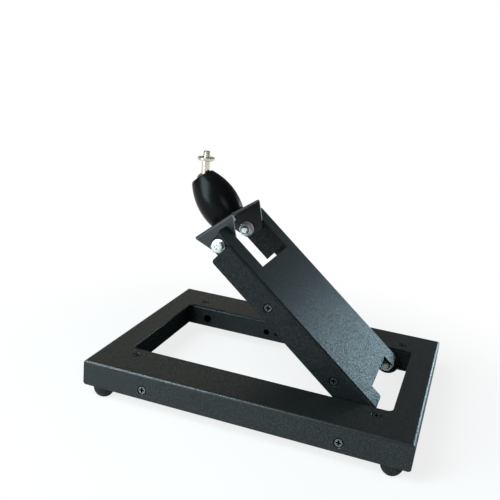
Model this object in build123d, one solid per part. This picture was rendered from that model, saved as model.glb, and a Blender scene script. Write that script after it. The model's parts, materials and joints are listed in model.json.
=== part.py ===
"""Portable projector stand.

A low rectangular base of folded sheet steel, an arm that folds down into the base's opening,
a tilting head bracket and a small ball head that ends in a 1/4-inch stud.
Millimetres, +Z up, +X towards the arm's hinge, -Y the front. The origin is on the floor,
under the middle of the base.
"""
import os
from math import radians, tan

from build123d import *

# Base: a folded top shell over rail channels, on four rubber feet
base_length = 280.0
base_width = 214.0
base_height = 22.6
base_sheet = 1.5
base_bend = 2.5
end_rail = 23.0
opening_corner = 5.0
wall_corner = 2.5
corner_slit = 0.5
rail_sheet = 1.5
rail_bend = 2.2
rail_setback = 0.6
rail_outer_leg = 15.0
rail_lip = 18.0
end_lip = 8.0
spare_hole_radius = 4.2
spare_hole_end = 42.5
cable_hole_radius = 3.1
pilot_hole_radius = 2.3
cable_hole_x = -31.0
pilot_hole_x = -20.0
foot_radius = 9.2
foot_height = 10.5
foot_collar = 2.2
foot_sole_radius = 5.0
foot_recess_radius = 3.0
foot_recess_depth = 2.2
foot_inset_x = 15.0
foot_inset_y = 10.0

# Countersunk cover screws
screw_hole_radius = 2.1
screw_sink_radius = 4.3
top_screw_end = 34.0
top_screw_inset = 11.5
wall_screw_end = 56.0
wall_screw_height = 8.2

# Arm: a folded channel, drawn upright on its hinge and then leaned back
arm_lean = 50.7
arm_width = 116.8
arm_gap = 5.9
arm_depth = 22.4
arm_sheet = 2.0
arm_bend = 3.0
arm_side_top = 179.9
arm_side_corner = 3.0
arm_top = 194.8
prong_setback = 1.8
prong_corner = 5.0
leg_corner = 3.0
leg_notch_width = 67.0
leg_notch_top = 11.0
head_notch_bottom = 148.1
lug_gap = 73.0
lug_depth = 24.0
lug_relief = 4.0
lug_corner = 6.5
lug_bend = 2.6
arm_screw_low = 38.5
arm_screw_high = 119.2
arm_screw_depth = 12.3
cover_sheet = 1.5
cover_bend = 2.2
cover_flange = 16.5
cover_bottom = 24.0
cover_top = 134.0
hinge_inset = 44.4
hinge_height = 9.0
hinge_depth = 12.1

# Head bracket: an inverted U that tilts between the arm's lugs
head_tilt = 10.5
tilt_axis_depth = 17.1
tilt_axis_along = 186.9
plate_front = 25.3
plate_back = 16.3
plate_height = 17.6
bracket_sheet = 2.0
bracket_bend = 2.4
ear_drop = 8.0
ear_taper = 26.0
ear_corner = 4.5

# Pivot hardware
bolt_radius = 3.0
bolt_head_flats = 10.0
bolt_head_height = 4.0
bolt_crown_radius = 4.6
bolt_stick_out = 2.0
washer_radius = 6.2
washer_thickness = 1.2
nut_flange_radius = 6.4
nut_flange = 1.2
nut_height = 4.6
nut_flats = 11.0
nut_collar_radius = 5.2
nut_collar = 1.4
spacer_radius = 6.0
tip_chamfer = 0.6

# Ball head
barrel_base_radius = 16.9
barrel_waist_radius = 18.7
barrel_waist_height = 18.0
barrel_top_radius = 11.4
barrel_length = 44.0
barrel_edge = 0.9
mouth_radius = 9.2
lip_radius = 6.5
mouth_depth = 3.2
ball_radius = 7.8
ball_sink = 4.6
neck_radius = 3.7
stud_radius = 3.175
disc_radius = 7.7
disc_thickness = 2.6
disc_lift = 19.0
disc_edge = 0.5
stud_free_length = 5.6
stud_relief = 0.5
stud_relief_radius = 2.9
head_screw_radius = 3.0
head_screw_cap_radius = 5.0
head_screw_cap = 4.0
head_screw_edge = 0.6
head_screw_reach = 12.0

# Clearances
run_clearance = 0.05
side_clearance = 0.3
socket_clearance = 0.2
seat_clearance = 0.15

# Places that follow from the sizes above
opening_length = base_length - 2 * end_rail
opening_width = arm_width + 2 * arm_gap
base_top = foot_height + base_height
shell_under = base_top - base_sheet
hinge_x = base_length / 2 - hinge_inset
hinge_z = foot_height + hinge_height
spare_hole_x = spare_hole_end - base_length / 2
top_screw_x = base_length / 2 - top_screw_end
wall_screw_x = base_length / 2 - wall_screw_end
leg_face_y = opening_width / 2 + rail_setback
arm_half = arm_width / 2
arm_face = hinge_depth
arm_back = hinge_depth - arm_depth
arm_middle = (arm_face + arm_back) / 2
arm_inner_half = arm_half - arm_sheet
prong_half = arm_half - prong_setback
lug_half = lug_gap / 2
ear_half = lug_half - side_clearance
tilt_axis_x = arm_face - tilt_axis_depth
plate_middle = (plate_front - plate_back) / 2
ball_height = barrel_length - ball_sink
disc_top = disc_lift + disc_thickness

ARM_TURN = Pos(hinge_x, 0, hinge_z) * Rot(0, -arm_lean, 0)
HEAD_TURN = ARM_TURN * Pos(tilt_axis_x, 0, tilt_axis_along) * Rot(0, head_tilt, 0)
BARREL_TURN = HEAD_TURN * Pos(plate_middle, 0, plate_height + seat_clearance)
BALL_TURN = BARREL_TURN * Pos(0, 0, ball_height) * Rot(0, arm_lean - head_tilt, 0)


def section(points):
    """A flat outline in its own X and Y, closed through the given points."""
    return make_face(Polyline(*points, close=True))


def rectangle(x_low, x_high, y_low, y_high):
    """A flat rectangle between two corners."""
    middle = Pos((x_low + x_high) / 2, (y_low + y_high) / 2)
    return middle * Rectangle(x_high - x_low, y_high - y_low)


def block(x_low, x_high, y_low, y_high, z_low, z_high):
    """A box between two corners."""
    middle = Pos((x_low + x_high) / 2, (y_low + y_high) / 2, (z_low + z_high) / 2)
    return middle * Box(x_high - x_low, y_high - y_low, z_high - z_low)


def corners_near(flat, *places):
    """The corners of a flat outline that lie nearest to the given places."""
    return [min(flat.vertices(), key=lambda corner: (Vector(*corner) - Vector(*place)).length)
            for place in places]


def along_y(radius, y_low, y_high, x=0.0, z=0.0):
    """A round rod along Y."""
    middle = Pos(x, (y_low + y_high) / 2, z)
    return middle * Rot(90, 0, 0) * Cylinder(radius, y_high - y_low)


def countersink(sheet):
    """The tool for one countersunk screw hole, its mouth at the origin, driven along -Z."""
    cone_depth = screw_sink_radius - screw_hole_radius
    cone = Pos(0, 0, -cone_depth / 2) * Cone(screw_hole_radius, screw_sink_radius, cone_depth)
    return cone + Cylinder(screw_hole_radius, 4 * sheet)


def corner_joints():
    """The tool for the shell's corners: a slit beside each long wall, whose lower end is rounded."""
    end = base_length / 2
    wall = base_width / 2 - base_sheet
    slit = block(end - 2 * base_sheet, end + base_sheet, wall - corner_slit, wall,
                 foot_height - base_sheet, base_top - base_bend)
    round_off = block(end - wall_corner, end + base_sheet, wall, base_width / 2 + base_sheet,
                      foot_height - base_sheet, foot_height + wall_corner)
    round_off -= along_y(wall_corner, wall - base_sheet, base_width / 2 + 2 * base_sheet,
                         end - wall_corner, foot_height + wall_corner)
    corner = slit + round_off
    pair = corner + mirror(corner, Plane.YZ)
    return pair + mirror(pair, Plane.XZ)


def base_shell():
    """Top plate with the rounded opening, folded down on all four sides."""
    middle = Pos(0, 0, foot_height)
    on_floor = (Align.CENTER, Align.CENTER, Align.MIN)
    outside = middle * Box(base_length, base_width, base_height, align=on_floor)
    outside = fillet(outside.edges().group_by(Axis.Z)[-1], base_bend)
    inside = middle * Box(base_length - 2 * base_sheet, base_width - 2 * base_sheet,
                          base_height - base_sheet, align=on_floor)
    inside = fillet(inside.edges().group_by(Axis.Z)[-1], base_bend - base_sheet)
    opening = middle * extrude(RectangleRounded(opening_length, opening_width, opening_corner),
                               2 * base_height)
    shell = outside - inside - opening - corner_joints()
    for x in (-top_screw_x, top_screw_x):
        for side in (-1, 1):
            y = side * (opening_width / 2 + top_screw_inset)
            shell -= Pos(x, y, base_top) * countersink(base_sheet)
    for x in (-wall_screw_x, wall_screw_x):
        for side in (-1, 1):
            place = Pos(x, side * base_width / 2, foot_height + wall_screw_height)
            shell -= place * Rot(-90 * side, 0, 0) * countersink(base_sheet)
    return shell


def rail_section(width, outer_leg, lip):
    """A folded rail section: outer leg at X 0, web on the bottom, inner leg with a top lip."""
    height = base_height - base_sheet
    place = Pos(width / 2, height / 2)
    ring = place * RectangleRounded(width, height, rail_bend)
    ring -= place * RectangleRounded(width - 2 * rail_sheet, height - 2 * rail_sheet,
                                     rail_bend - rail_sheet)
    return ring - rectangle(0, width - rail_sheet - lip, outer_leg, height)


def side_rail_channel(side):
    """Channel in a long rail; its inner leg carries the hinge bolt and the spare holes."""
    width = base_width / 2 - base_sheet - leg_face_y
    half_length = base_length / 2 - base_bend
    plane = Plane(origin=(half_length, side * (base_width / 2 - base_sheet), foot_height),
                  x_dir=(0, -side, 0), z_dir=(-1 if side > 0 else 1, 0, 0))
    reach = 2 * half_length if side > 0 else -2 * half_length
    channel = extrude(plane * rail_section(width, rail_outer_leg, rail_lip), reach)
    leg_y = side * (leg_face_y + rail_sheet / 2)
    holes = [(hinge_x, bolt_radius + run_clearance), (spare_hole_x, spare_hole_radius)]
    if side > 0:
        holes += [(cable_hole_x, cable_hole_radius), (pilot_hole_x, pilot_hole_radius)]
    for x, radius in holes:
        channel -= along_y(radius, leg_y - rail_sheet, leg_y + rail_sheet, x, hinge_z)
    for x in (-top_screw_x, top_screw_x):
        y = side * (opening_width / 2 + top_screw_inset)
        channel -= Pos(x, y, shell_under) * Cylinder(screw_hole_radius, 4 * rail_sheet)
    for x in (-wall_screw_x, wall_screw_x):
        y = side * (base_width / 2 - base_sheet - rail_sheet / 2)
        channel -= along_y(screw_hole_radius, y - rail_sheet, y + rail_sheet, x,
                           foot_height + wall_screw_height)
    return channel


def end_rail_channel(side):
    """Channel in a short rail, between the inner legs of the two long ones."""
    width = end_rail - base_sheet - rail_setback
    plane = Plane(origin=(side * (base_length / 2 - base_sheet), leg_face_y, foot_height),
                  x_dir=(-side, 0, 0), z_dir=(0, side, 0))
    reach = -2 * leg_face_y * side
    return extrude(plane * rail_section(width, rail_outer_leg, end_lip), reach)


def foot(x, y):
    """Domed rubber foot with a recess for its fixing screw."""
    shoulder = (foot_radius, foot_height - foot_collar)
    sole_edge = (foot_sole_radius, 0)
    profile = make_face([
        TangentArc(shoulder, sole_edge, tangent=(0, -1)),
        Polyline(sole_edge, (foot_recess_radius, 0), (foot_recess_radius, foot_recess_depth),
                 (0, foot_recess_depth), (0, foot_height), (foot_radius, foot_height), shoulder),
    ])
    return Pos(x, y, 0) * revolve(Plane.XZ * profile, Axis.Z)


def hex_bolt(grip):
    """Hex bolt along +Z: the head is below Z 0, the shank above, with its end past the nut."""
    head = extrude(RegularPolygon(bolt_head_flats / 2, 6, major_radius=False), -bolt_head_height)
    crown = Pos(0, 0, -bolt_head_height / 2) * Cone(
        bolt_crown_radius, bolt_crown_radius + 2 * bolt_head_height, bolt_head_height)
    length = grip + nut_flange + nut_height + nut_collar + bolt_stick_out
    shank = extrude(Circle(bolt_radius), length)
    shank = chamfer(shank.edges().group_by(Axis.Z)[-1], tip_chamfer)
    return (head & crown) + shank


def lock_nut():
    """Flanged lock nut along +Z, standing on Z 0, with the round collar that holds its insert."""
    body = extrude(Circle(nut_flange_radius), nut_flange)
    body += Pos(0, 0, nut_flange) * extrude(
        RegularPolygon(nut_flats / 2, 6, major_radius=False), nut_height)
    body += Pos(0, 0, nut_flange + nut_height) * extrude(Circle(nut_collar_radius), nut_collar)
    return body - extrude(Circle(bolt_radius + run_clearance), 4 * nut_height)


def facing_in(side):
    """Turns a piece drawn along +Z to point along Y, towards the middle of the stand."""
    return Rot(90 * side, 0, 0)


def hinge_bolt(side):
    """Hinge bolt: head inside the rail, shank through the rail's leg, spacer and arm wall."""
    grip = leg_face_y + rail_sheet - arm_inner_half + side_clearance
    return Pos(hinge_x, side * (leg_face_y + rail_sheet), hinge_z) * facing_in(side) * hex_bolt(grip)


def hinge_spacer(side):
    """Sleeve that keeps the arm clear of the rail."""
    y_low, y_high = sorted((side * (arm_half + side_clearance), side * leg_face_y))
    sleeve = along_y(spacer_radius, y_low, y_high, hinge_x, hinge_z)
    return sleeve - along_y(bolt_radius + run_clearance, y_low, y_high, hinge_x, hinge_z)


def hinge_nut(side):
    """Lock nut of the hinge, inside the arm."""
    return Pos(hinge_x, side * (arm_inner_half - side_clearance), hinge_z) * facing_in(side) * lock_nut()


def arm_channel():
    """Face with both notches, side walls with rounded hinge ends, and the lugs of the head."""
    inside_bend = arm_bend - arm_sheet
    outside = rectangle(arm_back, arm_face, -arm_half, arm_half)
    outside = fillet(corners_near(outside, (arm_face, arm_half), (arm_face, -arm_half)), arm_bend)
    hollow = rectangle(2 * arm_back, arm_face - arm_sheet, -arm_inner_half, arm_inner_half)
    inner_corner = arm_face - arm_sheet
    hollow = fillet(corners_near(hollow, (inner_corner, arm_inner_half),
                                 (inner_corner, -arm_inner_half)), inside_bend)
    channel = extrude(outside - hollow, arm_top)

    front = rectangle(-arm_half, arm_half, 0, arm_side_top)
    for side in (-1, 1):
        prong = rectangle(*sorted((side * lug_half, side * prong_half)), head_notch_bottom, arm_top)
        front += fillet(corners_near(prong, (side * prong_half, arm_top)), prong_corner)
    front -= rectangle(-lug_half, lug_half, head_notch_bottom, arm_top)
    front -= rectangle(-leg_notch_width / 2, leg_notch_width / 2, 0, leg_notch_top)
    leg_tips = [(side * leg_notch_width / 2, 0) for side in (-1, 1)]
    front = fillet(corners_near(front, *leg_tips), leg_corner)
    channel &= extrude(Plane.YZ * front, arm_depth, both=True)
    channel -= block(2 * arm_back, arm_face - arm_sheet, -arm_width, arm_width, arm_side_top, 2 * arm_top)
    round_off = block(2 * arm_back, arm_back + arm_side_corner, -arm_width, arm_width,
                      arm_side_top - arm_side_corner, 2 * arm_top)
    channel -= round_off - along_y(arm_side_corner, -2 * arm_width, 2 * arm_width,
                                   arm_back + arm_side_corner, arm_side_top - arm_side_corner)

    for side in (-1, 1):
        wall = along_y(arm_depth / 2, *sorted((side * arm_inner_half, side * arm_half)), arm_middle)
        channel += wall - block(-arm_depth, arm_depth, -arm_width, arm_width, 0, arm_depth)
        channel += lug(side)
        for z in (arm_screw_low, arm_screw_high):
            place = Pos(arm_face - arm_screw_depth, side * arm_half, z)
            channel -= place * Rot(-90 * side, 0, 0) * countersink(arm_sheet)
    channel -= along_y(bolt_radius + run_clearance, -arm_width, arm_width)
    channel -= along_y(bolt_radius + run_clearance, -arm_half, arm_half, tilt_axis_x, tilt_axis_along)
    return channel


def lug(side):
    """Lug bent back from a prong's edge, with the hole for the head's tilt bolt."""
    root = rectangle(arm_face - arm_sheet, arm_face, lug_half, lug_half + arm_bend + arm_sheet)
    bent = root + rectangle(arm_face - lug_depth, arm_face, lug_half, lug_half + arm_sheet)
    bent = fillet(corners_near(bent, (arm_face, lug_half)), lug_bend)
    if side < 0:
        bent = mirror(bent, Plane.XZ)
    low = head_notch_bottom + lug_relief
    bent = Pos(0, 0, low) * extrude(bent, arm_top - low)
    outline = rectangle(arm_face - lug_depth, arm_face, low, arm_top)
    outline = fillet(corners_near(outline, (arm_face - lug_depth, arm_top)), lug_corner)
    return bent & extrude(Plane.XZ * outline, arm_width, both=True)


def arm_back_cover():
    """Shallow channel that closes the arm's back between its two notches."""
    half = arm_inner_half
    back = arm_back
    tray = rectangle(back, back + cover_flange, -half, half)
    tray = fillet(corners_near(tray, (back, half), (back, -half)), cover_bend)
    hollow = rectangle(back + cover_sheet, arm_depth, -half + cover_sheet, half - cover_sheet)
    hollow_corners = [(back + cover_sheet, side * (half - cover_sheet)) for side in (-1, 1)]
    hollow = fillet(corners_near(hollow, *hollow_corners), cover_bend - cover_sheet)
    cover = Pos(0, 0, cover_bottom) * extrude(tray - hollow, cover_top - cover_bottom)
    for z in (arm_screw_low, arm_screw_high):
        cover -= along_y(screw_hole_radius, -arm_half, arm_half, arm_face - arm_screw_depth, z)
    return cover


def tilt_bolt(side):
    """Tilt bolt: head outside the lug, shank through the lug and the bracket's ear."""
    grip = washer_thickness + arm_sheet + 2 * side_clearance + bracket_sheet
    y = side * (lug_half + arm_sheet + washer_thickness)
    return Pos(tilt_axis_x, y, tilt_axis_along) * facing_in(side) * hex_bolt(grip)


def tilt_washer(side):
    """Washer under the tilt bolt's head, on the lug's outer face."""
    y_low, y_high = sorted(side * (lug_half + arm_sheet + lift) for lift in (0, washer_thickness))
    ring = along_y(washer_radius, y_low, y_high, tilt_axis_x, tilt_axis_along)
    return ring - along_y(bolt_radius + run_clearance, y_low, y_high, tilt_axis_x, tilt_axis_along)


def tilt_nut(side):
    """Lock nut of the tilt, on the inner face of the bracket's ear."""
    y = side * (ear_half - bracket_sheet - side_clearance)
    return Pos(tilt_axis_x, y, tilt_axis_along) * facing_in(side) * lock_nut()


def head_bracket():
    """Inverted U with tapering ears, round the tilt axis at the origin."""
    outside = rectangle(-ear_half, ear_half, -ear_drop, plate_height)
    outside = fillet(corners_near(outside, (ear_half, plate_height), (-ear_half, plate_height)),
                     bracket_bend)
    inner_half = ear_half - bracket_sheet
    under = plate_height - bracket_sheet
    hollow = rectangle(-inner_half, inner_half, -2 * ear_drop, under)
    hollow = fillet(corners_near(hollow, (inner_half, under), (-inner_half, under)),
                    bracket_bend - bracket_sheet)
    bracket = extrude(Plane.YZ * (outside - hollow), plate_front + plate_back, both=True)
    run_in = (under + ear_drop) * tan(radians(ear_taper))
    low_back = (run_in - plate_back, -ear_drop)
    low_front = (plate_front - run_in, -ear_drop)
    side_view = section([(-plate_back, plate_height), (-plate_back, under), low_back,
                         low_front, (plate_front, under), (plate_front, plate_height)])
    side_view = fillet(corners_near(side_view, low_back, low_front), ear_corner)
    bracket &= extrude(Plane.XZ * side_view, arm_width, both=True)
    bracket -= along_y(bolt_radius + run_clearance, -arm_width, arm_width)
    return bracket - Pos(plate_middle, 0, plate_height) * Cylinder(
        head_screw_radius + run_clearance, 4 * bracket_sheet)


def ball_head_screw():
    """Screw that holds the ball head down, its cap under the plate."""
    under = plate_height - bracket_sheet
    cap = Pos(0, 0, under - head_screw_cap) * extrude(Circle(head_screw_cap_radius), head_screw_cap)
    cap = chamfer(cap.edges().group_by(Axis.Z)[0], head_screw_edge)
    shank_length = bracket_sheet + seat_clearance + head_screw_reach
    return Pos(plate_middle, 0, 0) * (cap + Pos(0, 0, under) * extrude(
        Circle(head_screw_radius), shank_length))


def ball_head_barrel():
    """Egg-shaped clamping barrel: the socket that holds the ball, and a flared mouth over it."""
    profile = make_face([
        Line((0, 0), (barrel_base_radius - barrel_edge, 0)),
        Line((barrel_base_radius - barrel_edge, 0), (barrel_base_radius, barrel_edge)),
        Spline((barrel_base_radius, barrel_edge), (barrel_waist_radius, barrel_waist_height),
               (barrel_top_radius, barrel_length - barrel_edge)),
        Line((barrel_top_radius, barrel_length - barrel_edge),
             (barrel_top_radius - barrel_edge, barrel_length)),
        Polyline((barrel_top_radius - barrel_edge, barrel_length), (0, barrel_length), (0, 0)),
    ])
    barrel = revolve(Plane.XZ * profile, Axis.Z)
    barrel -= Pos(0, 0, ball_height) * Sphere(ball_radius + socket_clearance)
    barrel -= Pos(0, 0, barrel_length - mouth_depth / 2) * Cone(lip_radius, mouth_radius, mouth_depth)
    bore = extrude(Circle(head_screw_radius + run_clearance), head_screw_reach + seat_clearance)
    return barrel - bore


def ball_stud():
    """Ball, neck, lock disc's thread and, past a relief groove, the stud: one piece along +Z."""
    turned = Sphere(ball_radius) + extrude(Circle(neck_radius), disc_lift - side_clearance)
    turned += extrude(Circle(stud_radius), disc_top)
    turned += extrude(Circle(stud_relief_radius), disc_top + stud_relief)
    stud = extrude(Circle(stud_radius), stud_free_length - stud_relief)
    stud = chamfer(stud.edges().group_by(Axis.Z)[-1], tip_chamfer)
    return turned + Pos(0, 0, disc_top + stud_relief) * stud


def lock_disc():
    """Round lock disc that is turned up the stud against the load."""
    disc = Pos(0, 0, disc_lift) * extrude(Circle(disc_radius), disc_thickness)
    disc = chamfer(disc.edges(), disc_edge)
    return disc - extrude(Circle(stud_radius + run_clearance), 2 * disc_lift)


def parts():
    """Every piece of the stand by name, in place."""
    foot_x = base_length / 2 - foot_inset_x
    foot_y = base_width / 2 - foot_inset_y
    pieces = {
        "base_top_shell": base_shell(),
        "left_end_channel": end_rail_channel(-1),
        "right_end_channel": end_rail_channel(1),
    }
    for name, side in (("front", -1), ("back", 1)):
        pieces[f"{name}_rail_channel"] = side_rail_channel(side)
        pieces[f"foot_{name}_left"] = foot(-foot_x, side * foot_y)
        pieces[f"foot_{name}_right"] = foot(foot_x, side * foot_y)
        pieces[f"hinge_bolt_{name}"] = hinge_bolt(side)
        pieces[f"hinge_spacer_{name}"] = hinge_spacer(side)
        pieces[f"hinge_nut_{name}"] = hinge_nut(side)
        pieces[f"tilt_bolt_{name}"] = ARM_TURN * tilt_bolt(side)
        pieces[f"tilt_washer_{name}"] = ARM_TURN * tilt_washer(side)
        pieces[f"tilt_nut_{name}"] = ARM_TURN * tilt_nut(side)
    pieces["arm_channel"] = ARM_TURN * arm_channel()
    pieces["arm_back_cover"] = ARM_TURN * arm_back_cover()
    pieces["head_bracket"] = HEAD_TURN * head_bracket()
    pieces["ball_head_screw"] = HEAD_TURN * ball_head_screw()
    pieces["ball_head_barrel"] = BARREL_TURN * ball_head_barrel()
    pieces["ball_stud"] = BALL_TURN * ball_stud()
    pieces["lock_disc"] = BALL_TURN * lock_disc()
    return pieces


os.makedirs("parts", exist_ok=True)
for node, piece in parts().items():
    export_step(piece, f"parts/{node}.step")
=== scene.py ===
"""Finishes, fasteners and studio for the folding projector stand.

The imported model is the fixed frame. Its sheet metal, feet and barrel get their finishes here, and
the small turned and threaded pieces are made with geometry nodes. Metres, +Z up, -Y the front.
"""
import json
from math import cos, pi, radians, sin

import bpy
from bpy.props import FloatProperty, FloatVectorProperty, IntProperty, PointerProperty
from mathutils import Matrix, Vector


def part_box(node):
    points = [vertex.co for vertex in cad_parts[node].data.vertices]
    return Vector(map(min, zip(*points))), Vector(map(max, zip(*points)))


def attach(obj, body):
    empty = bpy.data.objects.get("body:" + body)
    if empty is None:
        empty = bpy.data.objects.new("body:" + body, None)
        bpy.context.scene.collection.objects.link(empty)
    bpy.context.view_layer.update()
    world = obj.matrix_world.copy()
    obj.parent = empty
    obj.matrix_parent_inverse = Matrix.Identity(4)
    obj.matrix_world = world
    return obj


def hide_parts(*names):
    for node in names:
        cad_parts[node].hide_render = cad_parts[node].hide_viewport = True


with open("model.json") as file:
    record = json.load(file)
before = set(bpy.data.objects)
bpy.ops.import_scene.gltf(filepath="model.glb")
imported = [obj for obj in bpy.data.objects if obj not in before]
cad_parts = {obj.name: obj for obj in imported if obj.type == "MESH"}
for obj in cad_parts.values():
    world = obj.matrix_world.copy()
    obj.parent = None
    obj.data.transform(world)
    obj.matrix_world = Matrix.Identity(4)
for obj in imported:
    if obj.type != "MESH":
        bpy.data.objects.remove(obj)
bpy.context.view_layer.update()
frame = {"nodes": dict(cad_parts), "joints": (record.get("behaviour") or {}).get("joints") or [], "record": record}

bl_info = {
    "name": "Folding projector stand",
    "version": (1, 0, 0),
    "blender": (4, 5, 0),
    "location": "3D View > Sidebar > Stand",
    "description": "Finishes, fasteners and studio of a folding tabletop projector stand",
    "category": "Object",
}

JOINTS = {joint["name"]: joint for joint in frame["joints"]}
SLOTS = {part["node"]: part["material_slot"] for part in frame["record"]["subparts"]}
# Duller copies of the sandy coat paint shade on the arm and the rails; they are not coats of their own
SHADED_COAT_COPIES = {"arm_channel": "arm_coat", "front_rail_channel": "rail_coat",
             "back_rail_channel": "rail_coat"}
HINGE = Vector(JOINTS["arm_fold"]["pos_m"])
TILT_AXIS = Vector(JOINTS["head_tilt"]["pos_m"])
BALL_CENTRE = Vector(JOINTS["ball_tilt"]["pos_m"])
DISC_TOP = Vector(JOINTS["disc_turn"]["pos_m"])
ARM_LEAN = radians(JOINTS["arm_fold"]["range_deg"][1])
ALONG_ARM = Vector((-sin(ARM_LEAN), 0.0, cos(ARM_LEAN)))
SHELL_LOW, SHELL_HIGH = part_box("base_top_shell")
RAIL_LEG_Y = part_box("back_rail_channel")[0].y
ARM_SIDE_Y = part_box("arm_channel")[1].y
STUD_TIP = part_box("ball_stud")[1].z
BALL_RADIUS = BALL_CENTRE.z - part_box("ball_stud")[0].z
DISC_LOW, DISC_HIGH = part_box("lock_disc")

UP = Vector((0.0, 0.0, 1.0))
SMOOTH_ANGLE = radians(32)

# Small allowances in metres
MERGE = 1e-6            # points this close are one
OVERLAP = 0.0001        # how far two joined solids run into each other
CUT_PAST = 0.001        # how far a cutter stands out of what it cuts
RUN_GAP = 0.00005       # between a rod and the bore that turns on it

# Name, place, size and tint of each softbox; its power is one of the studio's settings
LAMPS = (
    ("front", (-0.52, -0.71, 0.6), (0.42, 1.2), (0.72, 0.91, 0.97)),
    ("top", (-0.4, 0.0, 1.5), (1.2, 1.2), (1.0, 0.96, 0.74)),
    ("back", (0.84, 1.55, 0.33), (0.6, 0.6), (0.60, 0.87, 1.0)),
    ("left", (-0.75, 1.2, 0.75), (0.8, 0.8), (1.0, 0.92, 0.66)),
    ("fill", (0.68, -0.75, 0.70), (0.4, 0.4), (0.92, 0.98, 1.0)),
)
LAMP_AIM = Vector((0.0, 0.0, 0.08))


def length(name, description, default):
    """A size in metres for the sidebar."""
    return FloatProperty(name=name, description=description, default=default, min=0.0,
                         precision=5, unit="LENGTH")


def colour(name, description, default):
    """A colour for the sidebar."""
    return FloatVectorProperty(name=name, description=description, default=default, size=3,
                               min=0.0, max=1.0, subtype="COLOR")


def angle(name, description, degrees):
    """An angle for the sidebar."""
    return FloatProperty(name=name, description=description, default=radians(degrees),
                         subtype="ANGLE")


def power(name, description, default):
    """A lamp's power for the sidebar."""
    return FloatProperty(name=name, description=description, default=default, min=0.0,
                         unit="POWER")


class StandFinishes(bpy.types.PropertyGroup):
    """Colours and grain of the stand's finishes."""

    coat: colour("Coat", "Ground of the sandy black coat", (0.005, 0.0058, 0.0058))
    coat_fleck: colour("Coat fleck", "Grains of the coat that catch the light",
                       (0.016, 0.021, 0.022))
    # The inner coat is the sandy coat painted darker and duller: painted shade on the inner walls
    inner_coat: colour("Inner coat", "Ground of the coat on the ends' inner walls and the cover",
                       (0.0045, 0.005, 0.005))
    shaded_inner_fleck: colour("Inner fleck", "Grains of the coat inside", (0.015, 0.019, 0.020))
    grain: length("Grain", "Spacing of the grains of the coat", 0.0012)
    bracket: colour("Bracket", "Smoother satin coat of the head bracket", (0.004, 0.0047, 0.0065))
    zinc: colour("Zinc", "Bright zinc plate of the tilt bolts and other small hardware",
                 (0.80, 0.84, 0.85))
    # A paler, less metallic copy of the zinc: painted light on the nuts and hinge bolts in shade
    lit_zinc: colour("Pale zinc", "Filmed zinc plate of the nuts and the hinge bolts",
                      (0.95, 0.96, 0.96))
    steel: colour("Steel", "Turned steel of the stud and lock disc", (0.76, 0.70, 0.61))
    barrel: colour("Barrel", "Gloss black of the ball head", (0.002, 0.002, 0.0022))
    rubber: colour("Rubber", "Matt black rubber of the feet", (0.0085, 0.009, 0.009))
    dark_screw: colour("Dark screw", "Dark plate of the screws in the walls", (0.14, 0.15, 0.15))
    black_screw: colour("Black screw", "Blackened screws of the top plate and the arm",
                        (0.06, 0.068, 0.065))
    # Near-black painted shade for the gap round each cover screw and for its cross recess
    black_seat: colour("Screw seat", "Blackened seats and recesses of the cover screws",
                       (0.001, 0.001, 0.001))
    insert: colour("Insert", "Locking ring in the nuts", (0.012, 0.012, 0.014))


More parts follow.
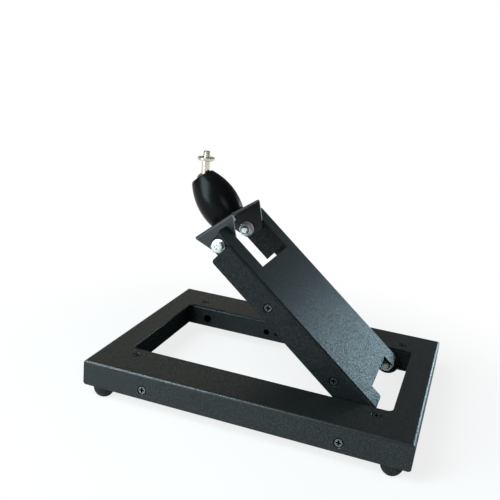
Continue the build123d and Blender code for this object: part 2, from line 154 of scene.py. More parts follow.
class StandFasteners(bpy.types.PropertyGroup):
    """Sizes and places of the screws, bolts, nuts and the stud's thread."""

    head_radius: length("Screw head", "Radius of a cover screw's flat head", 0.0032)
    head_depth: length("Screw head depth", "Depth of a cover screw's cone", 0.0015)
    head_sink: length("Screw sink", "How far a cover screw sits under the sheet", 0.0003)
    shank_radius: length("Screw shank", "Radius of a cover screw's shank", 0.0019)
    shank_length: length("Screw length", "Length of a cover screw", 0.006)
    # The seat ring is painted shade for the gap round a screw's head
    shade_ring_radius: length("Screw seat", "Radius of the blackened seat round a screw", 0.0041)
    cross_span: length("Cross span", "Length of one slot of the cross recess", 0.0046)
    cross_width: length("Cross width", "Width of one slot of the cross recess", 0.0013)
    cross_depth: length("Cross depth", "Depth of the cross recess", 0.0012)
    plate_screw_end: length("Plate screw end", "From the base's end to a top screw", 0.034)
    plate_screw_inset: length("Plate screw inset", "From the rail's leg to a top screw", 0.0109)
    wall_screw_end: length("Wall screw end", "From the base's end to a wall screw", 0.056)
    wall_screw_height: length("Wall screw height", "From the wall's lower edge", 0.0082)
    arm_screw_low: length("Lower arm screw", "From the hinge, along the arm", 0.0385)
    arm_screw_high: length("Upper arm screw", "From the hinge, along the arm", 0.1192)
    foot_screw_share: FloatProperty(name="Foot screw share", default=0.8, min=0.1, max=1.0,
                                    description="Size of a foot screw beside a cover screw")
    foot_screw_lift: length("Foot screw lift", "From the floor to a foot screw's head", 0.0008)
    bolt_radius: length("Bolt", "Radius of a pivot bolt", 0.003)
    bolt_flats: length("Bolt flats", "Across the flats of a bolt head", 0.010)
    bolt_head: length("Bolt head", "Height of a bolt head", 0.004)
    bolt_crown: length("Bolt crown", "Radius of the flat on a bolt head", 0.0046)
    bolt_pitch: length("Bolt pitch", "Pitch of a pivot bolt's thread", 0.001)
    bolt_core: length("Bolt core", "Radius at the root of a bolt's thread", 0.0025)
    bolt_thread: length("Bolt thread", "Threaded length of a bolt", 0.0095)
    nut_flange_radius: length("Nut flange", "Radius of a nut's flange", 0.0070)
    nut_flange: length("Nut flange height", "Height of a nut's flange", 0.0012)
    nut_height: length("Nut height", "Height of a nut's hexagon", 0.0046)
    nut_flats: length("Nut flats", "Across the flats of a nut", 0.011)
    nut_collar_radius: length("Nut collar", "Radius of the collar round the insert", 0.0052)
    nut_collar: length("Nut collar height", "Height of the collar round the insert", 0.0014)
    stud_neck: length("Stud neck", "Radius of the neck between the ball and the lock disc", 0.0037)
    stud_radius: length("Stud", "Radius of the camera stud", 0.003175)
    stud_core: length("Stud core", "Radius at the root of the stud's thread", 0.0026)
    stud_pitch: length("Stud pitch", "Pitch of the stud's thread", 0.00127)
    disc_gap: length("Disc gap", "From the neck's shoulder to the lock disc", 0.0003)
    disc_edge: length("Disc edge", "Rounding of the lock disc's edge", 0.0004)
    knurl_depth: length("Knurl depth", "Depth of the lock disc's knurl", 0.00025)
    knurl_count: IntProperty(name="Knurl count", description="Grooves round the lock disc",
                             default=40, min=3)


class StandStudio(bpy.types.PropertyGroup):
    """Camera, lamps and floor."""

    azimuth: angle("Azimuth", "Camera's turn from the front", 18.095)
    elevation: angle("Elevation", "Camera's height over the middle of the stand", 16.34)
    roll: angle("Roll", "Camera's tilt about its own axis", 5.496)
    distance: length("Distance", "From the camera to the point it looks at", 0.62282)
    aim: FloatVectorProperty(name="Aim", description="Point that the camera looks at", size=3,
                             subtype="XYZ", unit="LENGTH", default=(-0.03489, -0.00385, 0.12498))
    lens: FloatProperty(name="Lens", description="Focal length on a 36 mm sensor",
                        default=49.51, unit="CAMERA")
    front_power: power("Front lamp", "Tall cool softbox at the front left", 21.0)
    top_power: power("Top lamp", "Warm softbox overhead", 1.4)
    back_power: power("Back lamp", "Cool softbox low at the back right", 8.8)
    left_power: power("Left lamp", "Faint warm softbox at the back left", 0.36)
    fill_power: power("Fill lamp", "Small softbox at the front right", 1.7)
    room: FloatProperty(name="Room light", description="Level of the room's own light",
                        default=0.08, min=0.0)
    floor: colour("Floor", "Pale studio floor", (0.86, 0.86, 0.86))
    fade_start: length("Fade start", "Where the floor starts to fade into white", 0.15)
    fade_end: length("Fade end", "Where the floor is white", 0.36)


class Value:
    """An output socket in a node tree; arithmetic on it adds Math nodes."""

    def __init__(self, graph, socket):
        self.graph = graph
        self.socket = socket

    def __add__(self, other):
        return self.graph.math("ADD", self, other)

    def __radd__(self, other):
        return self.graph.math("ADD", other, self)

    def __sub__(self, other):
        return self.graph.math("SUBTRACT", self, other)

    def __rsub__(self, other):
        return self.graph.math("SUBTRACT", other, self)

    def __mul__(self, other):
        return self.graph.math("MULTIPLY", self, other)

    def __rmul__(self, other):
        return self.graph.math("MULTIPLY", other, self)

    def __truediv__(self, other):
        return self.graph.math("DIVIDE", self, other)

    def __rtruediv__(self, other):
        return self.graph.math("DIVIDE", other, self)

    def __neg__(self):
        return self.graph.math("MULTIPLY", self, -1.0)

    def output(self, name):
        """Another output of the same node."""
        return Value(self.graph, self.socket.node.outputs[name])


class Graph:
    """A shader or geometry node tree under construction."""

    def __init__(self, tree):
        self.tree = tree
        tree.nodes.clear()

    def node(self, kind, settings=None, inputs=None, output=0):
        """Adds a node: its settings first, then the values or links of its sockets."""
        made = self.tree.nodes.new(kind)
        for name, setting in (settings or {}).items():
            setattr(made, name, setting)
        for name, value in (inputs or {}).items():
            for one in value if isinstance(value, list) else [value]:
                if isinstance(one, Value):
                    self.tree.links.new(one.socket, made.inputs[name])
                else:
                    made.inputs[name].default_value = one
        return Value(self, made.outputs[output]) if made.outputs else None

    def math(self, operation, *values):
        """A Math node."""
        return self.node("ShaderNodeMath", {"operation": operation}, dict(enumerate(values)))

    def vector(self, x, y, z):
        """Three values as a vector."""
        return self.node("ShaderNodeCombineXYZ", inputs={"X": x, "Y": y, "Z": z})

    def ramp(self, value, low, high):
        """0 under low, 1 over high, and smooth between them."""
        return self.node("ShaderNodeMapRange", {"interpolation_type": "SMOOTHSTEP"},
                         {"Value": value, "From Min": low, "From Max": high})

    def mix(self, factor, first, second):
        """A colour between two others."""
        return self.node("ShaderNodeMix", {"data_type": "RGBA"},
                         {0: factor, 6: (*first, 1.0), 7: (*second, 1.0)}, output=2)


# Finishes


def noise(graph, size, detail=2.0):
    """Noise with blots of about the given size in metres, fixed to the piece."""
    place = graph.node("ShaderNodeTexCoord", output="Object")
    return graph.node("ShaderNodeTexNoise",
                      inputs={"Vector": place, "Scale": 1.0 / size, "Detail": detail})


def relief(graph, height, depth, strength):
    """A normal bent by a height map."""
    return graph.node("ShaderNodeBump",
                      inputs={"Strength": strength, "Distance": depth, "Height": height})


def tone(ground, share):
    """A colour made darker, or lighter as far as white."""
    return [min(1.0, share * channel) for channel in ground]


def surface(name, build):
    """The named material, built on first use by a function that returns its shader's sockets."""
    material = bpy.data.materials.get(name)
    if material is None:
        material = bpy.data.materials.new(name)
        material.use_nodes = True
        graph = Graph(material.node_tree)
        shader = graph.node("ShaderNodeBsdfPrincipled", inputs=build(graph))
        graph.node("ShaderNodeOutputMaterial", inputs={"Surface": shader})
    return material


def sandy_coat(graph, ground, fleck, grain_size, rough, shine, sparkle):
    """Powder coat with a fine sandy grain; the single grains are glossier and a little lighter."""
    grain = noise(graph, grain_size)
    fine = noise(graph, size=0.55 * grain_size)
    cloud = noise(graph, size=24 * grain_size)
    speck = graph.ramp(grain * 0.55 + fine * 0.45, low=0.44, high=0.62)
    return {
        "Base Color": graph.mix(speck * 0.5 + cloud * 0.15, ground, fleck),
        "Roughness": rough - 0.1 * speck + 0.08 * cloud,
        "Specular IOR Level": shine,
        "Coat Weight": sparkle * speck,
        "Coat Roughness": 0.5 * rough,
        "Normal": relief(graph, grain * 0.5 + fine * 0.5, depth=0.0003, strength=0.5),
    }


def satin_coat(graph, ground):
    """Thin satin coat, nearly smooth."""
    grain = noise(graph, size=0.0008)
    cloud = noise(graph, size=0.02)
    return {
        "Base Color": graph.mix(cloud, ground, tone(ground, 1.6)),
        "Roughness": 0.42 + 0.12 * grain,
        "Specular IOR Level": 0.46,
        "Normal": relief(graph, grain, depth=0.00008, strength=0.4),
    }


def bright_plate(graph, ground, metal=1.0):
    """Bright zinc plate with faint mottling; with less metal, a paler copy that paints light."""
    mottle = noise(graph, size=0.0015, detail=3.0)
    return {
        "Base Color": graph.mix(mottle, tone(ground, 0.72), ground),
        "Metallic": metal,
        "Roughness": 0.24 + 0.14 * mottle,
    }


def turned_steel(graph, ground):
    """Turned steel with fine rings left by the tool."""
    ring_spacing = 0.00035
    place = graph.node("ShaderNodeTexCoord", output="Object")
    height = graph.node("ShaderNodeSeparateXYZ", inputs={"Vector": place}, output="Z")
    rings = graph.math("SINE", height * (2 * pi / ring_spacing)) * 0.5 + 0.5
    smear = noise(graph, size=0.003)
    return {
        "Base Color": graph.mix(smear, tone(ground, 0.7), ground),
        "Metallic": 1.0,
        "Roughness": 0.2 + 0.12 * rings,
    }


def gloss_black(graph, ground):
    """Gloss black anodised barrel with faint handling marks."""
    smear = noise(graph, size=0.006, detail=4.0)
    return {
        "Base Color": graph.mix(smear, ground, tone(ground, 1.8)),
        "Roughness": 0.22 + 0.08 * smear,
        "Specular IOR Level": 0.09,
    }


def moulded_rubber(graph, ground, shine=0.28):
    """Matt moulded rubber, a little dusty; with less shine, painted shade for screw seats."""
    dust = graph.ramp(noise(graph, size=0.004, detail=4.0), low=0.45, high=0.75)
    pores = noise(graph, size=0.0004)
    return {
        "Base Color": graph.mix(dust, ground, tone(ground, 3.0)),
        "Roughness": 0.72 + 0.14 * pores,
        "Specular IOR Level": shine,
        "Normal": relief(graph, pores, depth=0.00006, strength=0.3),
    }


def thin_plate(graph, ground):
    """Blackened or thinly plated screw steel, rubbed where the driver slipped."""
    rub = noise(graph, size=0.0012, detail=3.0)
    return {
        "Base Color": graph.mix(graph.ramp(rub, low=0.4, high=0.7), ground, tone(ground, 1.7)),
        "Metallic": 0.85,
        "Roughness": 0.3 + 0.2 * rub,
    }


def finish(slot, settings):
    """The material of a record slot, or of a small piece's own finish."""
    outer = (settings.coat, settings.coat_fleck, settings.grain)
    inner = (settings.inner_coat, settings.shaded_inner_fleck, settings.grain)
    builders = {
        "powder_coat": ("Sandy black coat", lambda g: sandy_coat(
            g, *outer, rough=0.36, shine=0.3, sparkle=0.5)),
        # Painted shade: duller copies of the same sandy coat for the arm and the rails
        "arm_coat": ("Sandy arm coat", lambda g: sandy_coat(
            g, *outer, rough=0.46, shine=0.11, sparkle=0.31)),
        "rail_coat": ("Sandy rail coat", lambda g: sandy_coat(
            g, *outer, rough=0.45, shine=0.15, sparkle=0.45)),
        # Painted shade: a darker, duller copy of the coat for the inner walls and the cover
        "inner_coat": ("Sandy inner coat", lambda g: sandy_coat(
            g, *inner, rough=0.85, shine=0.02, sparkle=0.02)),
        "bracket_coat": ("Satin bracket coat", lambda g: satin_coat(g, settings.bracket)),
        "zinc": ("Bright zinc plate", lambda g: bright_plate(g, settings.zinc)),
        # Painted light: a paler, less metallic copy of the zinc for parts in shade
        "nut_zinc": ("Pale nut plate", lambda g: bright_plate(g, settings.lit_zinc, metal=0.3)),
        "stud_steel": ("Turned stud steel", lambda g: turned_steel(g, settings.steel)),
        "barrel_black": ("Gloss black barrel", lambda g: gloss_black(g, settings.barrel)),
        "foot_rubber": ("Moulded foot rubber", lambda g: moulded_rubber(g, settings.rubber)),
        "dark_screw": ("Dark screw plate", lambda g: thin_plate(g, settings.dark_screw)),
        "black_screw": ("Blackened screw", lambda g: thin_plate(g, settings.black_screw)),
        # Painted shade in the seats and cross recesses of the screws
        "black_seat": ("Blackened seat", lambda g: moulded_rubber(
            g, settings.black_seat, shine=0.02)),
        "insert": ("Nut insert", lambda g: moulded_rubber(g, settings.insert)),
    }
    return surface(*builders[slot])


# Geometry nodes


class Tree(Graph):
    """A geometry node tree that puts one fastener on each point of a mesh, facing its way."""

    def __init__(self, name, *sizes):
        tree = bpy.data.node_groups.new(name, "GeometryNodeTree")
        super().__init__(tree)
        sockets = [("Points", "NodeSocketGeometry")]
        sockets += [(size, "NodeSocketFloat") for size in sizes]
        sockets += [("Finish", "NodeSocketMaterial"), ("Second finish", "NodeSocketMaterial")]
        for label, kind in sockets:
            tree.interface.new_socket(label, in_out="INPUT", socket_type=kind)
        tree.interface.new_socket("Mesh", in_out="OUTPUT", socket_type="NodeSocketGeometry")
        start = self.node("NodeGroupInput")
        self.inputs = {label: start.output(label) for label, _ in sockets}

    def __getitem__(self, label):
        return self.inputs[label]

    def move(self, mesh, z, turn=(0.0, 0.0, 0.0)):
        """A mesh turned and then lifted."""
        return self.node("GeometryNodeTransform", inputs={
            "Geometry": mesh, "Translation": self.vector(0.0, 0.0, z), "Rotation": turn})

    def cone(self, low_radius, high_radius, low, high, sides=48):
        """A cone or cylinder along Z between two heights."""
        made = self.node("GeometryNodeMeshCone", inputs={
            "Vertices": sides, "Radius Bottom": low_radius, "Radius Top": high_radius,
            "Depth": high - low})
        return self.move(made, low)

    def combine(self, operation, first, *others):
        """A union, an intersection or a difference of meshes."""
        meshes = list(others) if operation == "DIFFERENCE" else [first, *others]
        inputs = {"Mesh 1": first} if operation == "DIFFERENCE" else {}
        return self.node("GeometryNodeMeshBoolean",
                         {"operation": operation, "solver": "EXACT"},
                         {**inputs, "Mesh 2": meshes})

    def join(self, *meshes):
        """Several meshes side by side."""
        return self.node("GeometryNodeJoinGeometry", inputs={"Geometry": list(meshes)})

    def with_second_finish(self, mesh):
        """A mesh with the second finish."""
        return self.node("GeometryNodeSetMaterial",
                         inputs={"Geometry": mesh, "Material": self["Second finish"]})

    def hexagon(self, flats, crown, low, high):
        """A hexagon bar whose upper corners are turned off."""
        corner, slope = flats / 3 ** 0.5, 2.0
        bar = self.cone(corner, corner, low, high, sides=6)
        turned = self.cone(crown + slope * (high - low), crown, low, high)
        return self.combine("INTERSECT", bar, turned)

    def cross(self, span, width, depth, top):
        """Two crossed blades that sink to a point."""
        blades = []
        for turn in (0.0, pi / 2):
            blade = self.node("GeometryNodeMeshCube", inputs={
                "Size": self.vector(span, width, depth * 2.0)})
            blades.append(self.move(blade, top, (0.0, 0.0, turn)))
        tip, sunk, proud = 0.0001, depth * 1.6, depth * 0.1
        point = self.cone(tip, width, top - sunk, top + proud, sides=16)
        return self.combine("UNION", *blades, point)

    def ring(self, inner, outer, low, high, edge):
        """A flat ring with rounded edges."""
        rail = self.node("GeometryNodeCurvePrimitiveCircle", inputs={
            "Resolution": 96, "Radius": (inner + outer) * 0.5})
        profile = self.node("GeometryNodeCurvePrimitiveQuadrilateral", inputs={
            "Width": outer - inner, "Height": high - low})
        profile = self.node("GeometryNodeFilletCurve", inputs={"Curve": profile, "Radius": edge})
        swept = self.node("GeometryNodeCurveToMesh", inputs={
            "Curve": rail, "Profile Curve": profile})
        return self.move(swept, (low + high) * 0.5)

    def threaded_rod(self, radius, core, pitch, reach, rows=160, around=40):
        """A threaded rod along +Z from the origin, its ends turned down to the core.

        A flat grid is rolled up; its first and last rows close the ends.
        """
        steepness, root_flat = 1.3, 0.1
        sheet = self.node("GeometryNodeMeshGrid", inputs={
            "Size X": 1.0, "Size Y": 1.0, "Vertices X": around + 1, "Vertices Y": rows + 1})
        place = self.node("GeometryNodeInputPosition")
        across = self.node("ShaderNodeSeparateXYZ", inputs={"Vector": place})
        turns = across + 0.5
        row = (across.output("Y") + 0.5) * rows
        share = self.node("ShaderNodeClamp", inputs={"Value": (row - 1.0) / (rows - 2.0)})
        height = share * reach
        phase = self.math("FRACT", height / pitch - turns + 1.0)
        flank = 1.0 - self.math("ABSOLUTE", phase * 2.0 - 1.0)
        crest = self.node("ShaderNodeClamp", inputs={"Value": flank * steepness - root_flat})
        to_end = self.math("MINIMUM", height, reach - height)
        thread = core + (radius - core) * crest
        turned = self.math("MINIMUM", thread, core + to_end)
        inside = self.math("GREATER_THAN", row, 0.5) * self.math("LESS_THAN", row, rows - 0.5)
        wide = turned * inside
        bearing = turns * (2 * pi)
        shaped = self.node("GeometryNodeSetPosition", inputs={
            "Geometry": sheet,
            "Position": self.vector(wide * self.math("COSINE", bearing),
                                    wide * self.math("SINE", bearing), height)})
        return self.node("GeometryNodeMergeByDistance",
                         inputs={"Geometry": shaped, "Distance": MERGE})

    def finish(self, mesh, with_second_finish=False):
        """Puts the fastener on every point and coats it, apart from what has the second finish."""
        facing = self.node("GeometryNodeInputNamedAttribute", {"data_type": "FLOAT_VECTOR"},
                           {"Name": "facing"})
        turn = self.node("FunctionNodeAlignRotationToVector", {"axis": "Z"}, {"Vector": facing})
        placed = self.node("GeometryNodeInstanceOnPoints", inputs={
            "Points": self["Points"], "Instance": mesh, "Rotation": turn})
        real = self.node("GeometryNodeRealizeInstances", inputs={"Geometry": placed})
        coated = {"Geometry": real, "Material": self["Finish"]}
        if with_second_finish:
            second_finish_faces = self.node("GeometryNodeMaterialSelection",
                              inputs={"Material": self["Second finish"]})
            coated["Selection"] = self.node("FunctionNodeBooleanMath", {"operation": "NOT"},
                                            {0: second_finish_faces})
        self.node("NodeGroupOutput", inputs={
            "Mesh": self.node("GeometryNodeSetMaterial", inputs=coated)})
        return self.tree


def cross_screw_tree():
    """Countersunk cross-head screw in a ring of painted shade; its hole's edge is at the point."""
    tree = Tree("Cross-head screw", "Head radius", "Head depth", "Sink", "Shank radius",
                "Length", "Span", "Width", "Depth", "Seat radius")
    # The seat ring and the cross recess take the second finish, a near-black painted shade
    shade_ring_rise, shade_ring_edge = 0.00005, 0.0001
    top = -tree["Sink"]
    under = top - tree["Head depth"]
    head = tree.cone(tree["Shank radius"], tree["Head radius"], under, top)
    shank = tree.cone(tree["Shank radius"], tree["Shank radius"], -tree["Length"],
                      under + OVERLAP, sides=24)
    screw = tree.combine("UNION", head, shank)
    recess = tree.cross(tree["Span"], tree["Width"], tree["Depth"], top)
    screw = tree.combine("DIFFERENCE", screw, tree.with_second_finish(recess))
    # The seat ring paints the shade in the gap between the head and its countersink
    seat = tree.ring(tree["Head radius"] - OVERLAP, tree["Seat radius"], top - 2 * OVERLAP,
                     top + shade_ring_rise, shade_ring_edge)
    return tree.finish(tree.join(screw, tree.with_second_finish(seat)), with_second_finish=True)


def pivot_bolt_tree():
    """Hexagon bolt with a cross recess; its head stands on the point, its shank goes under."""
    tree = Tree("Pivot bolt", "Radius", "Core", "Pitch", "Flats", "Head", "Crown", "Length",
                "Thread", "Span", "Width", "Depth")
    head = tree.hexagon(tree["Flats"], tree["Crown"], 0.0, tree["Head"])
    recess = tree.cross(tree["Span"], tree["Width"], tree["Depth"], tree["Head"])
    head = tree.combine("DIFFERENCE", head, recess)
    plain, run_in = tree["Length"] - tree["Thread"], 0.0005
    shank = tree.cone(tree["Radius"], tree["Radius"], -plain, 2 * OVERLAP, sides=32)
    thread = tree.threaded_rod(tree["Radius"], tree["Core"], tree["Pitch"],
                               tree["Thread"] + run_in)
    thread = tree.move(thread, run_in - plain, (pi, 0.0, 0.0))
    return tree.finish(tree.join(head, shank, thread))


def lock_nut_tree():
    """Flanged lock nut standing on the point, with the insert in its rolled collar."""
    tree = Tree("Lock nut", "Bore", "Flats", "Flange radius", "Flange", "Height",
                "Collar radius", "Collar")
    bore, flats, outer = tree["Bore"], tree["Flats"], tree["Collar radius"]
    hex_top = tree["Flange"] + tree["Height"]
    top = hex_top + tree["Collar"]
    shoulder, crown, wall = flats * 0.56, flats * 0.47, tree["Collar"] * 0.9
    flange = tree.cone(tree["Flange radius"], shoulder, 0.0, tree["Flange"])
    body = tree.hexagon(flats, crown, tree["Flange"] * 0.5, hex_top)
    hole = tree.cone(bore, bore, -CUT_PAST, top, sides=32)
    nut = tree.combine("DIFFERENCE", tree.combine("UNION", flange, body), hole)
    collar = tree.ring(outer - wall, outer, hex_top - 4 * OVERLAP, top, wall * 0.48)
    insert = tree.ring(bore, outer - wall * 0.8, hex_top - 2 * OVERLAP, top - wall * 0.5,
                       wall * 0.2)
    return tree.finish(tree.join(nut, collar, tree.with_second_finish(insert)), with_second_finish=True)


def camera_stud_tree():
    """Ball on the point, and over it the neck, the disc's thread and the stud's thread."""
    tree = Tree("Camera stud", "Ball radius", "Neck", "Radius", "Core", "Pitch", "Shoulder", "Tip")
    ball = tree.node("GeometryNodeMeshUVSphere", inputs={
        "Segments": 64, "Rings": 32, "Radius": tree["Ball radius"]})
    edge = tree["Neck"] * 0.1
    straight = tree.cone(tree["Neck"], tree["Neck"], 0.0, tree["Shoulder"] - edge)
    bevel = tree.cone(tree["Neck"], tree["Neck"] - edge, tree["Shoulder"] - edge * 1.01,
                      tree["Shoulder"])
    neck = tree.combine("UNION", straight, bevel)
    root = tree["Shoulder"] - tree["Pitch"]
    thread = tree.threaded_rod(tree["Radius"], tree["Core"], tree["Pitch"], tree["Tip"] - root,
                               rows=150)
    stud = tree.join(ball, neck, tree.move(thread, root))
    return tree.finish(stud)


def lock_disc_tree(grooves):
    """Ring with a knurled rim, its lower face on the point."""
    tree = Tree("Knurled disc", "Bore", "Radius", "Thickness", "Edge", "Knurl")
    ring = tree.ring(tree["Bore"], tree["Radius"], 0.0, tree["Thickness"], tree["Edge"])
    rim = tree.node("GeometryNodeMeshCircle", inputs={
        "Vertices": grooves, "Radius": tree["Radius"]})
    tooth = tree.cone(tree["Knurl"], tree["Knurl"], -CUT_PAST, tree["Thickness"] + CUT_PAST,
                      sides=4)
    teeth = tree.node("GeometryNodeInstanceOnPoints", inputs={"Points": rim, "Instance": tooth})
    teeth = tree.node("GeometryNodeRealizeInstances", inputs={"Geometry": teeth})
    disc = tree.combine("DIFFERENCE", ring, teeth)
    return tree.finish(disc)


def drop_empty_slots(mesh):
    """Leaves a mesh only the material slots that hold a finish."""
    looks = [mesh.materials[face.material_index] for face in mesh.polygons]
    kept = [material for material in mesh.materials if material]
    mesh.materials.clear()
    for material in kept:
        mesh.materials.append(material)
    mesh.polygons.foreach_set("material_index", [kept.index(look) for look in looks])


def fasten(name, body, tree, sizes, places, replaced=()):
    """Runs a tree on the given places once, and lets the plain mesh ride on a body."""
    mesh = bpy.data.meshes.new(name)
    mesh.from_pydata([point for point, _ in places], [], [])
    facing = mesh.attributes.new("facing", "FLOAT_VECTOR", "POINT")
    facing.data.foreach_set("vector", [part for _, way in places for part in way])
    piece = bpy.data.objects.new(name, mesh)
    bpy.context.scene.collection.objects.link(piece)
    modifier = piece.modifiers.new(tree.name, "NODES")
    modifier.node_group = tree
    for socket in tree.interface.items_tree:
        if socket.in_out == "INPUT" and socket.name in sizes:
            modifier[socket.identifier] = sizes[socket.name]
    view = bpy.context.evaluated_depsgraph_get()
    solid = bpy.data.meshes.new_from_object(piece.evaluated_get(view), depsgraph=view)
    piece.modifiers.remove(modifier)
    piece.data = solid
    bpy.data.meshes.remove(mesh)
    if not solid.polygons:
        raise RuntimeError(f"{name} came out empty")
    solid.name = name
    drop_empty_slots(solid)
    solid.shade_smooth()
    solid.set_sharp_from_angle(angle=SMOOTH_ANGLE)
    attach(piece, body)
    if replaced:
        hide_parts(*replaced)


def sides_of_y(x, y, z):
    """A place on the front and on the back, each facing out."""
    return [(Vector((x, side * y, z)), Vector((0.0, side, 0.0))) for side in (-1.0, 1.0)]


def screw_inputs(context, look):
    """What the cross-head screw's tree takes for one finish."""
    sizes = context.scene.stand_fasteners
    looks = context.scene.stand_finishes
    # The second finish is painted shade for the screw's seat ring and cross recess
    return {"Head radius": sizes.head_radius, "Head depth": sizes.head_depth,
            "Sink": sizes.head_sink, "Shank radius": sizes.shank_radius,
            "Length": sizes.shank_length, "Span": sizes.cross_span,
            "Width": sizes.cross_width, "Depth": sizes.cross_depth,
            "Seat radius": sizes.shade_ring_radius, "Finish": finish(look, looks),
            "Second finish": finish("black_seat", looks)}


def background_rays(graph, seen, mirrored):
    """A share of white for the camera's rays, and one for those that mirrors and glass send."""
    path = graph.node("ShaderNodeLightPath", output="Is Camera Ray")
    sent = path.output("Is Glossy Ray") + path.output("Is Transmission Ray")
    return graph.math("MINIMUM", seen * path + mirrored * sent, 1.0)


# Operators


class STAND_OT_finishes(bpy.types.Operator):
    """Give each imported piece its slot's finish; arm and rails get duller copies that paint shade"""

    bl_idname = "stand.finishes"
    bl_label = "Coat and plate the pieces"

    def execute(self, context):
        for name, node in frame["nodes"].items():
            # The arm and the rails take the duller copies, which paint their shade
            look = SHADED_COAT_COPIES.get(name, SLOTS[name])
            material = finish(look, context.scene.stand_finishes)
            if not node.material_slots:
                node.data.materials.append(None)
            for slot in node.material_slots:
                slot.material = material
        return {"FINISHED"}


class STAND_OT_cover_screws(bpy.types.Operator):
    """Put the countersunk screws into the top plate, the walls and the arm"""

    bl_idname = "stand.cover_screws"
    bl_label = "Cover screws"

    def execute(self, context):
        sizes = context.scene.stand_fasteners
        tree = cross_screw_tree()
        half = SHELL_HIGH.x
        plate = [(Vector((x, y, SHELL_HIGH.z)), UP)
                 for x in (sizes.plate_screw_end - half, half - sizes.plate_screw_end)
                 for y in (-RAIL_LEG_Y - sizes.plate_screw_inset,
                           RAIL_LEG_Y + sizes.plate_screw_inset)]
        wall = [place for x in (sizes.wall_screw_end - half, half - sizes.wall_screw_end)
                for place in sides_of_y(x, SHELL_HIGH.y, SHELL_LOW.z + sizes.wall_screw_height)]
        arm = []
        for along in (sizes.arm_screw_low, sizes.arm_screw_high):
            point = HINGE + along * ALONG_ARM
            arm += sides_of_y(point.x, ARM_SIDE_Y, point.z)
        for name, body, places, look in (("plate_screws", "base", plate, "black_screw"),
                                         ("wall_screws", "base", wall, "dark_screw"),
                                         ("arm_screws", "arm", arm, "black_screw")):
            fasten(name, body, tree, screw_inputs(context, look), places)
        return {"FINISHED"}


class STAND_OT_foot_screws(bpy.types.Operator):
    """Put the fixing screws into the recesses of the feet"""

    bl_idname = "stand.foot_screws"
    bl_label = "Foot screws"

    def execute(self, context):
        sizes = context.scene.stand_fasteners
        places = []
        for node in ("foot_front_left", "foot_front_right", "foot_back_left", "foot_back_right"):
            low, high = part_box(node)
            middle = (low + high) / 2
            places.append((Vector((middle.x, middle.y, sizes.foot_screw_lift)), -UP))
        inputs = screw_inputs(context, "zinc")
        for size in ("Head radius", "Span", "Seat radius"):
            inputs[size] *= sizes.foot_screw_share
        fasten("foot_screws", "base", cross_screw_tree(), inputs, places)
        return {"FINISHED"}


class STAND_OT_pivot_bolts(bpy.types.Operator):
    """Make the bolts of the hinge and of the tilting head, with their threads"""

    bl_idname = "stand.pivot_bolts"
    bl_label = "Pivot bolts"

    def execute(self, context):
        sizes = context.scene.stand_fasteners
        tree = pivot_bolt_tree()
        # The hinge bolts take the paler zinc copy, painted light for their tips in shade
        for pivot, body, axis, look in (("hinge", "base", HINGE, "nut_zinc"),
                                        ("tilt", "arm", TILT_AXIS, "zinc")):
            nodes = [f"{pivot}_bolt_front", f"{pivot}_bolt_back"]
            low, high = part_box(nodes[1])
            inputs = {"Radius": sizes.bolt_radius, "Core": sizes.bolt_core,
                      "Pitch": sizes.bolt_pitch, "Flats": sizes.bolt_flats,
                      "Head": sizes.bolt_head, "Crown": sizes.bolt_crown,
                      "Length": high.y - low.y - sizes.bolt_head, "Thread": sizes.bolt_thread,
                      "Span": sizes.cross_span, "Width": sizes.cross_width,
                      "Depth": sizes.cross_depth,
                      "Finish": finish(look, context.scene.stand_finishes)}
            places = sides_of_y(axis.x, high.y - sizes.bolt_head, axis.z)
            fasten(f"{pivot}_bolts", body, tree, inputs, places, nodes)
        return {"FINISHED"}


class STAND_OT_lock_nuts(bpy.types.Operator):
    """Make the flanged lock nuts of the hinge and of the tilting head"""

    bl_idname = "stand.lock_nuts"
    bl_label = "Lock nuts"

    def execute(self, context):
        sizes = context.scene.stand_fasteners
        looks = context.scene.stand_finishes
        tree = lock_nut_tree()
        for pivot, body, axis in (("hinge", "base", HINGE), ("tilt", "arm", TILT_AXIS)):
            nodes = [f"{pivot}_nut_front", f"{pivot}_nut_back"]
            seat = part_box(nodes[1])[1].y
            # The nuts take the paler zinc copy, painted light where they sit in shade
            inputs = {"Bore": sizes.bolt_radius + RUN_GAP, "Flats": sizes.nut_flats,
                      "Flange radius": sizes.nut_flange_radius, "Flange": sizes.nut_flange,
                      "Height": sizes.nut_height, "Collar radius": sizes.nut_collar_radius,
                      "Collar": sizes.nut_collar, "Finish": finish("nut_zinc", looks),
                      "Second finish": finish("insert", looks)}
            places = [(point, -way) for point, way in sides_of_y(axis.x, seat, axis.z)]
            fasten(f"{pivot}_nuts", body, tree, inputs, places, nodes)
        return {"FINISHED"}


class STAND_OT_camera_stud(bpy.types.Operator):
    """Make the ball with its neck and threaded camera stud"""

    bl_idname = "stand.camera_stud"
    bl_label = "Camera stud"

    def execute(self, context):
        sizes = context.scene.stand_fasteners
        inputs = {"Ball radius": BALL_RADIUS, "Neck": sizes.stud_neck,
                  "Radius": sizes.stud_radius, "Core": sizes.stud_core,
                  "Pitch": sizes.stud_pitch,
                  "Shoulder": DISC_LOW.z - BALL_CENTRE.z - sizes.disc_gap,
                  "Tip": STUD_TIP - BALL_CENTRE.z,
                  "Finish": finish("stud_steel", context.scene.stand_finishes)}
        fasten("camera_stud", "ball", camera_stud_tree(), inputs, [(BALL_CENTRE, UP)],
               ["ball_stud"])
        return {"FINISHED"}


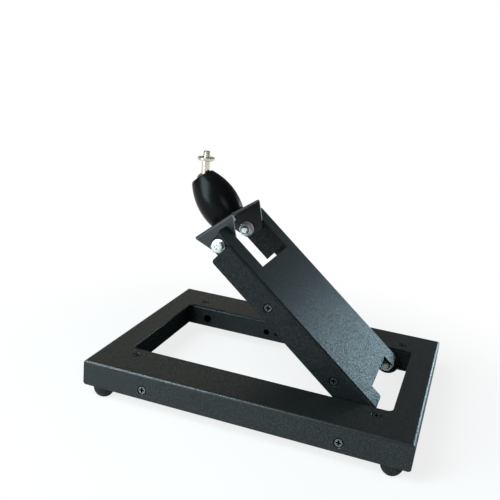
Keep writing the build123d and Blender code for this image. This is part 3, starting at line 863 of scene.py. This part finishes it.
class STAND_OT_lock_disc(bpy.types.Operator):
    """Make the lock disc with its knurled rim"""

    bl_idname = "stand.lock_disc"
    bl_label = "Lock disc"

    def execute(self, context):
        sizes = context.scene.stand_fasteners
        inputs = {"Bore": sizes.stud_radius + RUN_GAP, "Radius": (DISC_HIGH.x - DISC_LOW.x) / 2,
                  "Thickness": DISC_HIGH.z - DISC_LOW.z, "Edge": sizes.disc_edge,
                  "Knurl": sizes.knurl_depth,
                  "Finish": finish("stud_steel", context.scene.stand_finishes)}
        place = Vector((DISC_TOP.x, DISC_TOP.y, DISC_LOW.z))
        fasten("knurled_disc", "disc", lock_disc_tree(sizes.knurl_count), inputs,
               [(place, UP)], ["lock_disc"])
        return {"FINISHED"}


class STAND_OT_stage(bpy.types.Operator):
    """Set up the floor, the lamps, the room and the camera"""

    bl_idname = "stand.stage"
    bl_label = "Studio"

    def execute(self, context):
        studio = context.scene.stand_studio
        self.floor(context, studio)
        for name, place, size, tint in LAMPS:
            watts = getattr(studio, f"{name}_power")
            self.lamp(context, f"{name}_lamp", Vector(place), size, watts, tint)
        self.room(context, studio)
        self.camera(context, studio)
        context.scene.view_settings.view_transform = "Standard"
        return {"FINISHED"}

    @staticmethod
    def floor(context, studio):
        """Pale floor that keeps the shadow and fades into white away from the stand."""
        reach, near_white = 6.0, 0.8
        mesh = bpy.data.meshes.new("floor")
        corners = [(-reach, -reach, 0.0), (reach, -reach, 0.0), (reach, reach, 0.0),
                   (-reach, reach, 0.0)]
        mesh.from_pydata(corners, [], [(0, 1, 2, 3)])
        floor = bpy.data.objects.new("floor", mesh)
        context.scene.collection.objects.link(floor)
        material = bpy.data.materials.new("Studio floor")
        material.use_nodes = True
        graph = Graph(material.node_tree)
        place = graph.node("ShaderNodeTexCoord", output="Object")
        away = graph.node("ShaderNodeVectorMath", {"operation": "LENGTH"}, {0: place},
                          output="Value")
        far = graph.ramp(away, studio.fade_start, studio.fade_end)
        pale = graph.node("ShaderNodeBsdfPrincipled", inputs={
            "Base Color": (*studio.floor, 1.0), "Roughness": 0.9, "Specular IOR Level": 0.1})
        white = graph.node("ShaderNodeEmission")
        seen = near_white + (1.0 - near_white) * far
        shown = graph.node("ShaderNodeMixShader", inputs={
            0: background_rays(graph, seen, far), 1: pale, 2: white})
        graph.node("ShaderNodeOutputMaterial", inputs={"Surface": shown})
        mesh.materials.append(material)

    @staticmethod
    def lamp(context, name, place, size, watts, tint):
        """One softbox that faces the stand, its size given as width and height."""
        data = bpy.data.lights.new(name, "AREA")
        data.shape = "RECTANGLE"
        data.size, data.size_y = size
        data.energy = watts
        data.color = tint
        lamp = bpy.data.objects.new(name, data)
        lamp.location = place
        lamp.rotation_euler = (LAMP_AIM - place).to_track_quat("-Z", "Y").to_euler()
        context.scene.collection.objects.link(lamp)

    @staticmethod
    def room(context, studio):
        """Even grey room, white for the camera past the floor and low down for what mirrors it."""
        horizon, drop = 0.07, 0.93
        world = bpy.data.worlds.new("Studio room")
        world.use_nodes = True
        graph = Graph(world.node_tree)
        grey = (studio.room,) * 3
        way = graph.node("ShaderNodeTexCoord", output="Generated")
        height = graph.node("ShaderNodeSeparateXYZ", inputs={"Vector": way}, output="Z")
        low = 1.0 - drop * graph.ramp(height, 0.0, horizon)
        light = graph.node("ShaderNodeBackground", inputs={
            "Color": graph.mix(background_rays(graph, 1.0, low), grey, (1.0, 1.0, 1.0))})
        graph.node("ShaderNodeOutputWorld", inputs={"Surface": light})
        context.scene.world = world

    @staticmethod
    def camera(context, studio):
        """Camera at the photograph's angle."""
        data = bpy.data.cameras.new("camera")
        data.lens = studio.lens
        camera = bpy.data.objects.new("camera", data)
        flat = Vector((-sin(studio.azimuth), cos(studio.azimuth), 0.0))
        forward = flat * cos(studio.elevation) - UP * sin(studio.elevation)
        level = forward.cross(UP).normalized()
        above = level.cross(forward)
        right = level * cos(studio.roll) + above * sin(studio.roll)
        upward = right.cross(forward)
        turn = Matrix((right, upward, -forward)).transposed().to_4x4()
        camera.matrix_world = Matrix.Translation(
            Vector(studio.aim) - forward * studio.distance) @ turn
        context.scene.collection.objects.link(camera)
        context.scene.camera = camera


OPERATORS = (STAND_OT_finishes, STAND_OT_cover_screws, STAND_OT_foot_screws,
             STAND_OT_pivot_bolts, STAND_OT_lock_nuts, STAND_OT_camera_stud,
             STAND_OT_lock_disc, STAND_OT_stage)
GROUPS = (("stand_finishes", StandFinishes), ("stand_fasteners", StandFasteners),
          ("stand_studio", StandStudio))


class STAND_PT_sidebar(bpy.types.Panel):
    """Settings and steps of the projector stand"""

    bl_idname = "STAND_PT_sidebar"
    bl_label = "Projector stand"
    bl_space_type = "VIEW_3D"
    bl_region_type = "UI"
    bl_category = "Stand"

    def draw(self, context):
        for name, group in GROUPS:
            box = self.layout.box()
            for setting in group.__annotations__:
                box.prop(getattr(context.scene, name), setting)
        for operator in OPERATORS:
            self.layout.operator(operator.bl_idname)


def register():
    """Makes the settings, the steps and the sidebar known."""
    for name, group in GROUPS:
        bpy.utils.register_class(group)
        setattr(bpy.types.Scene, name, PointerProperty(type=group))
    for operator in OPERATORS:
        bpy.utils.register_class(operator)
    bpy.utils.register_class(STAND_PT_sidebar)


def unregister():
    """Takes them away again, in the opposite order."""
    bpy.utils.unregister_class(STAND_PT_sidebar)
    for operator in reversed(OPERATORS):
        bpy.utils.unregister_class(operator)
    for name, group in reversed(GROUPS):
        delattr(bpy.types.Scene, name)
        bpy.utils.unregister_class(group)


def main():
    """Runs the steps in order."""
    register()
    bpy.ops.stand.finishes()
    bpy.ops.stand.cover_screws()
    bpy.ops.stand.foot_screws()
    bpy.ops.stand.pivot_bolts()
    bpy.ops.stand.lock_nuts()
    bpy.ops.stand.camera_stud()
    bpy.ops.stand.lock_disc()
    bpy.ops.stand.stage()


if __name__ == "__main__":
    main()
